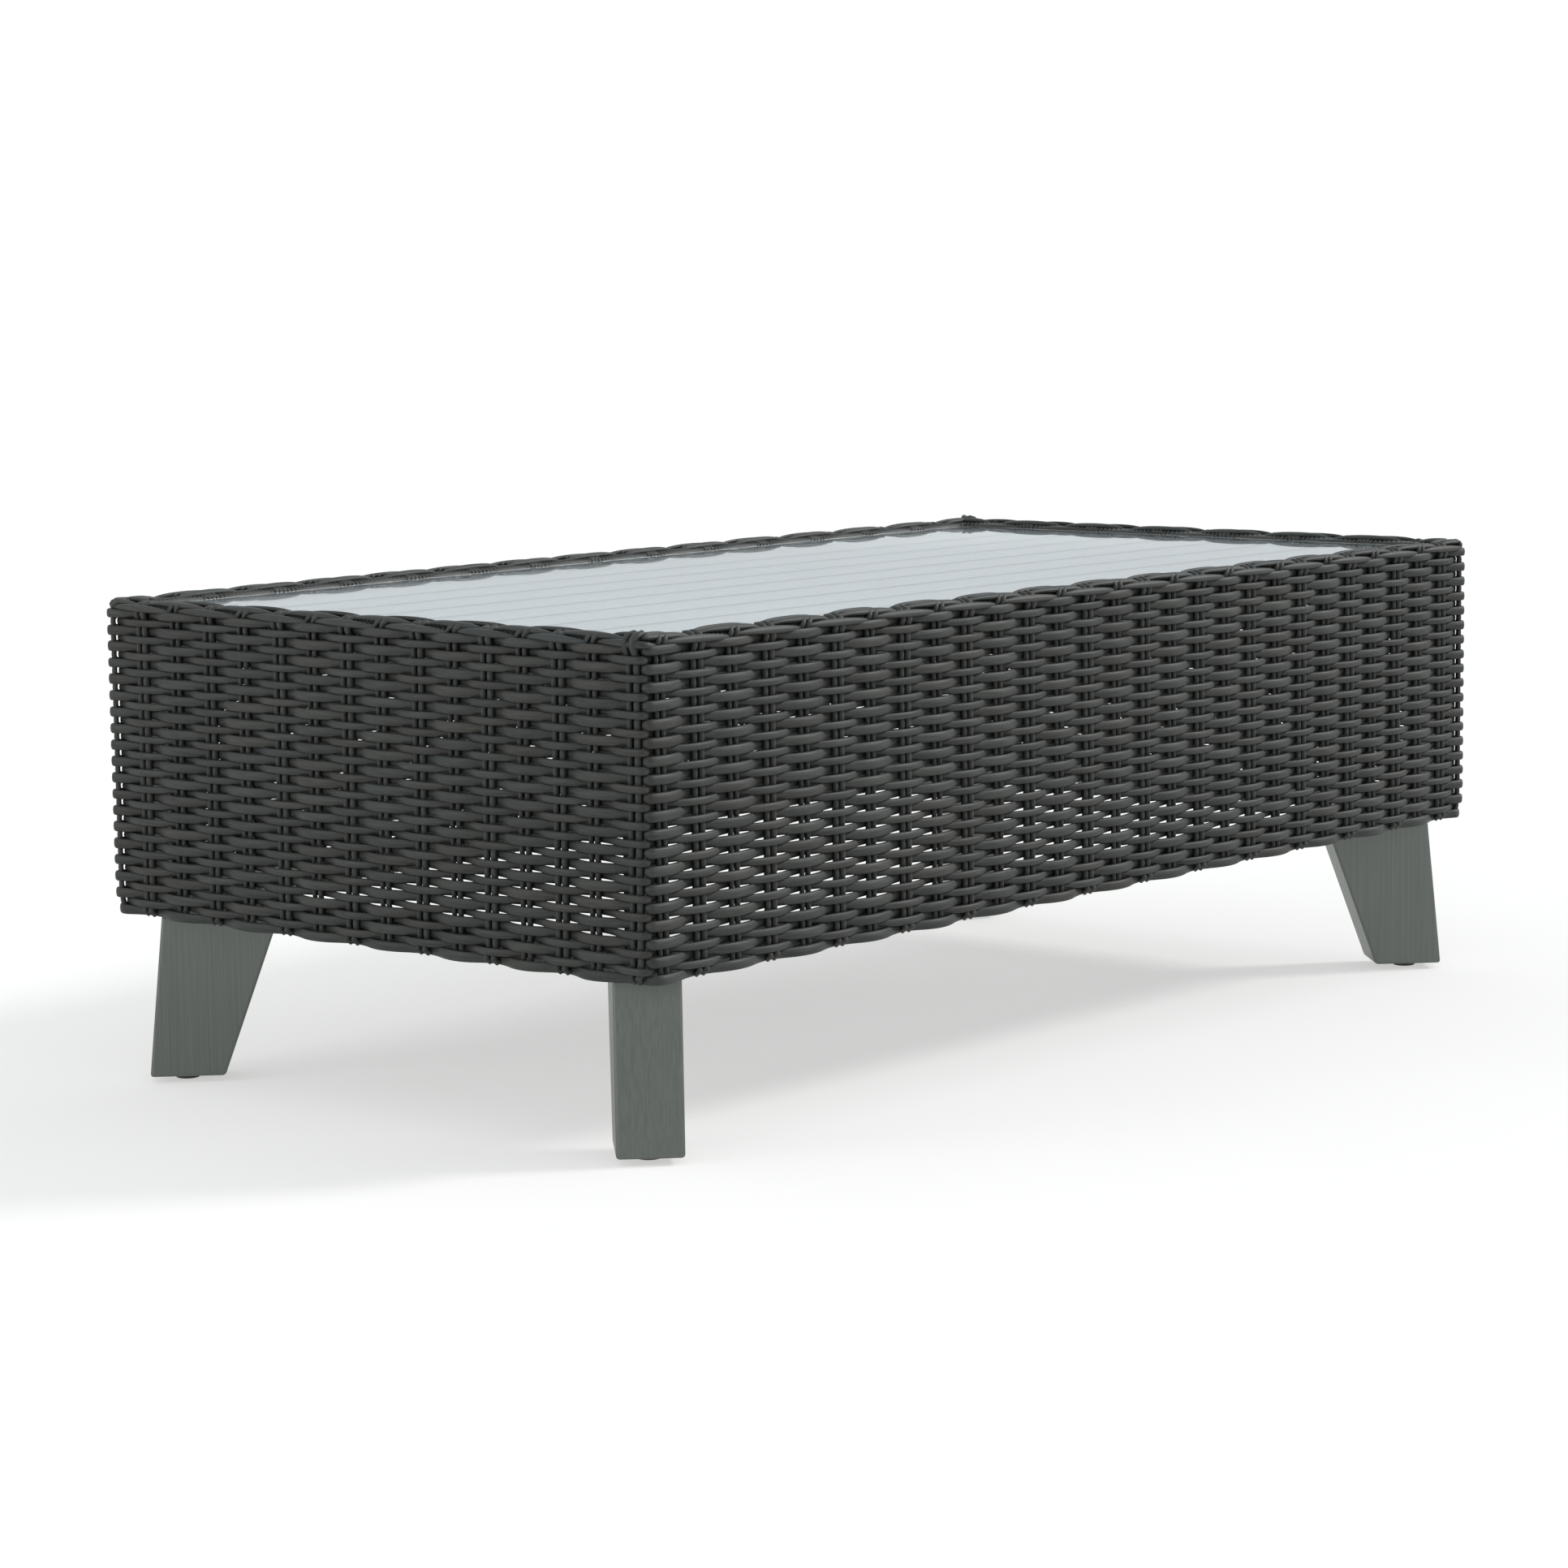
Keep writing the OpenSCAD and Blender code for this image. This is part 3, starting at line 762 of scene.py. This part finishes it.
def grey(red, green, blue):
    """Linear colour from 0 to 255 display values."""
    def one(value):
        value /= 255
        return value / 12.92 if value <= 0.04045 else ((value + 0.055) / 1.055) ** 2.4
    return one(red), one(green), one(blue)


def wicker_material():
    """Charcoal resin strand. Each float has its own shade, with fine fibre along it."""
    m = Nodes("resin_wicker")
    grain = m.attribute("grain", "Vector")
    tone = m.attribute("tone", "Fac")
    shift = m.node("ShaderNodeCombineXYZ")
    far = m.math("MULTIPLY", tone, 400.0)
    m.link(far, shift.inputs[0])
    m.link(far, shift.inputs[1])
    fine = m.noise(m.scaled(grain, (0.05, 0.95, 0.95), shift.outputs[0]), 1.0, 5.0, 0.7)
    broad = m.noise(m.scaled(grain, (0.05, 0.25, 0.25), shift.outputs[0]), 1.0, 2.0)
    hue = m.ramp(m.math("FRACT", m.math("MULTIPLY", tone, 7.31), 0.0),
                 (0.0, grey(52, 51, 47)), (0.35, grey(49, 51, 49)),
                 (0.7, grey(47, 50, 49)), (1.0, grey(52, 53, 50)))
    level = m.span(tone, 0.66, 0.94)
    streak = m.span(fine, 0.5, 1.55, 0.3, 0.7)
    patch = m.span(broad, 0.85, 1.15, 0.25, 0.75)
    strength = m.math("MULTIPLY", m.math("MULTIPLY", level, streak), patch)
    grey_level = m.node("ShaderNodeCombineColor")
    for socket in grey_level.inputs[:3]:
        m.link(strength, socket)
    colour = m.mix(1.0, hue, grey_level.outputs[0], "MULTIPLY")
    m.link(colour, m.shader.inputs["Base Color"])
    m.link(m.span(fine, 0.44, 0.62, 0.3, 0.7), m.shader.inputs["Roughness"])
    m.set(Specular_IOR_Level=0.3)
    m.bump(fine, 0.4, 0.0005)
    return m.material


def brushed_metal(name, colour, scale, roughness, metallic=1.0, contrast=0.12, bump=0.08):
    """Metal brushed along the axis that has the smallest scale."""
    m = Nodes(name)
    place_in = m.node("ShaderNodeTexCoord").outputs["Object"]
    brush = m.noise(m.scaled(place_in, scale), 1.0, 3.0, 0.6)
    cloud = m.noise(place_in, 9.0, 3.0)
    dark = tuple(c * (1 - contrast) for c in colour)
    light = tuple(c * (1 + contrast) for c in colour)
    base = m.ramp(brush, (0.3, dark), (0.7, light))
    faded = m.ramp(cloud, (0.3, (0.93, 0.93, 0.93)), (0.7, (1.0, 1.0, 1.0)))
    m.link(m.mix(1.0, base, faded, "MULTIPLY"), m.shader.inputs["Base Color"])
    m.link(m.span(brush, roughness - 0.06, roughness + 0.06, 0.3, 0.7),
           m.shader.inputs["Roughness"])
    m.set(Metallic=metallic)
    m.bump(brush, bump, 0.0003)
    return m.material


# Painted shade at the slat edges: the plain colour runs up to the first place and is near black
# from the second on.
UNSHADED_END, SHADE_START = 0.442, 0.447      # in pitches from a slat's middle
WHITE = (1.0, 1.0, 1.0)


def slat_material():
    """Pale satin paint, with painted shade: a thin near-black line along both edges of every slat,
    standing in for the shade in the gaps.
    """
    m = Nodes("top_aluminium")
    place_in = m.node("ShaderNodeTexCoord").outputs["Object"]
    brush = m.noise(m.scaled(place_in, (2.0, 900.0, 900.0)), 1.0, 3.0, 0.6)
    cloud = m.noise(place_in, 6.0, 3.0)
    base = m.ramp(brush, (0.3, grey(190, 195, 198)), (0.7, grey(206, 211, 214)))
    faded = m.ramp(cloud, (0.3, (0.92, 0.92, 0.92)), (0.7, (1.0, 1.0, 1.0)))
    parts = m.node("ShaderNodeSeparateXYZ")
    m.link(place_in, parts.inputs[0])
    steps = m.math("DIVIDE", m.math("SUBTRACT", parts.outputs["Y"], SLAT_START), SLAT_PITCH)
    from_gap = m.math("ABSOLUTE", m.math("SUBTRACT", m.math("FRACT", steps, 0.0), 0.5), 0.0)
    # Painted shade: the colour turns near black close to each slat edge, standing in for the shade
    # in the gaps between slats.
    edge = m.ramp(from_gap, (0.0, WHITE), (UNSHADED_END, WHITE), (SHADE_START, (0.015, 0.016, 0.018)))
    m.link(m.mix(1.0, m.mix(1.0, base, faded, "MULTIPLY"), edge, "MULTIPLY"),
           m.shader.inputs["Base Color"])
    m.link(m.span(brush, 0.4, 0.5, 0.3, 0.7), m.shader.inputs["Roughness"])
    m.set(Metallic=0.15)
    m.bump(brush, 0.05, 0.0002)
    return m.material


def moulded_plastic():
    """Black plastic with a fine moulded texture, a little worn."""
    m = Nodes("pad_plastic")
    place_in = m.node("ShaderNodeTexCoord").outputs["Object"]
    speckle = m.noise(place_in, 1600.0, 2.0)
    worn = m.noise(place_in, 60.0, 3.0)
    m.link(m.ramp(worn, (0.3, grey(24, 25, 26)), (0.75, grey(38, 39, 40))),
           m.shader.inputs["Base Color"])
    m.link(m.span(speckle, 0.45, 0.62, 0.3, 0.7), m.shader.inputs["Roughness"])
    m.bump(speckle, 0.2, 0.0002)
    return m.material


def glass_material():
    """Clear glass. Rays from lamps go straight through, so that the slats below are lit."""
    m = Nodes("pane")
    place_in = m.node("ShaderNodeTexCoord").outputs["Object"]
    film = m.noise(place_in, 5.0, 4.0)
    m.link(m.ramp(film, (0.3, (0.965, 0.985, 0.99)), (0.7, (0.985, 0.995, 1.0))),
           m.shader.inputs["Base Color"])
    m.set(Roughness=0.0, IOR=1.5, Transmission_Weight=1.0)
    path = m.node("ShaderNodeLightPath")
    from_lamp = m.math("MAXIMUM", path.outputs["Is Shadow Ray"], path.outputs["Is Diffuse Ray"])
    m.clear_where(from_lamp, (0.93, 0.95, 0.96))
    return m.material


def silicone_material():
    """The soft clear bumpers under the pane."""
    m = Nodes("clear_silicone")
    place_in = m.node("ShaderNodeTexCoord").outputs["Object"]
    cloud = m.noise(place_in, 400.0, 2.0)
    m.link(m.ramp(cloud, (0.3, (0.86, 0.88, 0.88)), (0.7, (0.95, 0.96, 0.96))),
           m.shader.inputs["Base Color"])
    m.link(m.span(cloud, 0.25, 0.4), m.shader.inputs["Roughness"])
    m.set(IOR=1.41, Transmission_Weight=0.9)
    return m.material


def floor_material():
    """A pale floor, lit a little from within so that the shadow on it stays light.

    Its lower face is clear, so that the table can be seen from below.
    """
    m = Nodes("studio_floor")
    place_in = m.node("ShaderNodeTexCoord").outputs["Object"]
    cloud = m.noise(place_in, 3.0, 2.0)
    m.link(m.ramp(cloud, (0.3, (0.325, 0.323, 0.318)), (0.7, (0.335, 0.333, 0.328))),
           m.shader.inputs["Base Color"])
    m.set(Roughness=0.9, Specular_IOR_Level=0.0, Emission_Color=(1.0, 1.0, 0.985, 1.0),
          Emission_Strength=0.535)
    m.clear_where(m.node("ShaderNodeNewGeometry").outputs["Backfacing"])
    return m.material


def paint(piece, material):
    """Gives every material slot of an object this material."""
    if piece.material_slots:
        for each in piece.material_slots:
            each.material = material
    else:
        piece.data.materials.append(material)


# ---------------------------------------------------------------- put it together

ALONG_LEG, ALONG_SLAT = (700.0, 700.0, 7.0), (2.0, 900.0, 900.0)


def dress_weave():
    """The strands, in place of the plain sides and rim."""
    wicker = wicker_material()
    for piece in build_weave() + build_stakes() + build_rim() + build_wraps():
        kind, side = piece.name.rsplit("_", 1)
        paint(piece, wicker)
        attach(piece, "frame")
        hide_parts(f"rim_{side}" if kind == "rim_braid" else f"wicker_{side}")


def dress_legs(leg_metal):
    """The rounded slabs, in place of the plain ones."""
    for name, (end_sign, side_sign) in LEG_CORNERS.items():
        leg = build_leg(name, end_sign, side_sign)
        paint(leg, leg_metal)
        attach(leg, "frame")
        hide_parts(f"leg_{name}")


def dress_frame(leg_metal):
    """Materials for the CAD nodes that stay. The first start that fits a node's name counts."""
    frame_metal = brushed_metal("frame_aluminium", grey(140, 143, 141), (60.0, 60.0, 60.0), 0.5)
    rail_metal = brushed_metal("rail_aluminium", grey(205, 209, 211), ALONG_SLAT, 0.4,
                               metallic=0.3, contrast=0.05)
    steel = brushed_metal("stainless_steel", grey(190, 190, 188), (90.0, 90.0, 90.0), 0.3)
    choices = [
        ("glass_top", glass_material()), ("glass_bumpers", silicone_material()),
        ("slat_screws", steel), ("slat_", slat_material()), ("cross_bar", frame_metal),
        ("top_rail", rail_metal), ("bottom_rail", frame_metal), ("corner_", frame_metal),
        ("leg_plate", leg_metal), ("leg_bolts", steel), ("foot_stud", steel),
        ("foot_pad", moulded_plastic())]
    for node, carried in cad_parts.items():
        for start, material in choices:
            if node.startswith(start):
                paint(carried, material)
                break


# ---------------------------------------------------------------- studio


FLOOR_REACH = 40.0
FLOOR_DROP = 0.0005
WORLD_STRENGTH = 1.1
BELT, BELT_TINT = 0.59, (0.93, 0.98)
KEY_FROM, KEY_STRENGTH, KEY_SPREAD = (1.2, -0.9, 1.0), 2.6, 13.0
FILL_PLACE, FILL_AIM, FILL_SIZE, FILL_POWER = (-3.2, 1.2, 1.1), (-0.6, 0.0, 0.25), 1.6, 22.0
CAMERA_PLACE = Vector((-3.0158, -2.5053, 0.7278))
CAMERA_AZIMUTH, CAMERA_ELEVATION, CAMERA_ROLL = 49.64, -7.38, -0.67
CAMERA_LENS = 97.74


def build_floor():
    """A wide plane just under the feet."""
    mesh = bpy.data.meshes.new("studio_floor")
    far = FLOOR_REACH
    corners = [(-far, -far, 0), (far, -far, 0), (far, far, 0), (-far, far, 0)]
    mesh.from_pydata(corners, [], [(0, 1, 2, 3)])
    piece = bpy.data.objects.new("studio_floor", mesh)
    bpy.context.scene.collection.objects.link(piece)
    paint(piece, floor_material())
    piece.location.z = -FLOOR_DROP


def area_light(name, place_at, aim, size, power):
    """A round soft lamp that faces aim."""
    data = bpy.data.lights.new(name, "AREA")
    data.shape = "DISK"
    data.size = size
    data.energy = power
    made = bpy.data.objects.new(name, data)
    bpy.context.scene.collection.objects.link(made)
    made.location = place_at
    made.rotation_euler = (Vector(aim) - Vector(place_at)).to_track_quat("-Z", "Y").to_euler()


def sun_light(name, towards, strength, spread):
    """A far lamp. towards is where it stands, seen from the table."""
    data = bpy.data.lights.new(name, "SUN")
    data.energy = strength
    data.angle = math.radians(spread)
    made = bpy.data.objects.new(name, data)
    bpy.context.scene.collection.objects.link(made)
    made.rotation_euler = Vector(towards).to_track_quat("Z", "Y").to_euler()


def build_world():
    """White all round, with a dimmer belt just above the horizon that the glass mirrors."""
    world = bpy.data.worlds.new("studio")
    world.use_nodes = True
    tree = world.node_tree
    back = tree.nodes["Background"]
    where = tree.nodes.new("ShaderNodeTexCoord")
    parts = tree.nodes.new("ShaderNodeSeparateXYZ")
    ramp = tree.nodes.new("ShaderNodeValToRGB")
    tree.links.new(where.outputs["Generated"], parts.inputs[0])
    tree.links.new(parts.outputs["Z"], ramp.inputs["Fac"])
    tree.links.new(ramp.outputs["Color"], back.inputs["Color"])
    # Sines of the elevations where the belt begins, is full, begins to end and ends.
    stops = [(0.0, 1.0), (0.056, 1.0), (0.075, BELT), (0.24, BELT), (0.38, 1.0)]
    elements = ramp.color_ramp.elements
    while len(elements) < len(stops):
        elements.new(0.5)
    for element, (height, level) in zip(elements, stops):
        element.position = height
        element.color = (level * BELT_TINT[0], level * BELT_TINT[1], level, 1.0)
    back.inputs["Strength"].default_value = WORLD_STRENGTH
    bpy.context.scene.world = world


def build_camera():
    """The photo's viewing angle. The azimuth is from +Y towards +X."""
    azimuth, elevation, roll = map(
        math.radians, (CAMERA_AZIMUTH, CAMERA_ELEVATION, CAMERA_ROLL))
    ahead = Vector((math.sin(azimuth) * math.cos(elevation),
                    math.cos(azimuth) * math.cos(elevation), math.sin(elevation)))
    level = Vector((math.cos(azimuth), -math.sin(azimuth), 0.0))
    above = level.cross(ahead)
    right = level * math.cos(roll) + above * math.sin(roll)
    top = above * math.cos(roll) - level * math.sin(roll)
    turn = Matrix((right, top, -ahead)).transposed()
    data = bpy.data.cameras.new("camera")
    data.lens = CAMERA_LENS
    data.sensor_width = 36.0
    data.clip_start, data.clip_end = 0.1, 200.0
    made = bpy.data.objects.new("camera", data)
    bpy.context.scene.collection.objects.link(made)
    made.matrix_world = Matrix.Translation(CAMERA_PLACE) @ turn.to_4x4()
    bpy.context.scene.camera = made


leg_aluminium = brushed_metal("leg_aluminium", grey(106, 110, 106), ALONG_LEG, 0.4)
dress_weave()
dress_legs(leg_aluminium)
dress_frame(leg_aluminium)
build_floor()
build_world()
sun_light("key", KEY_FROM, KEY_STRENGTH, KEY_SPREAD)
area_light("fill", FILL_PLACE, FILL_AIM, FILL_SIZE, FILL_POWER)
build_camera()
bpy.context.scene.view_settings.view_transform = "Standard"
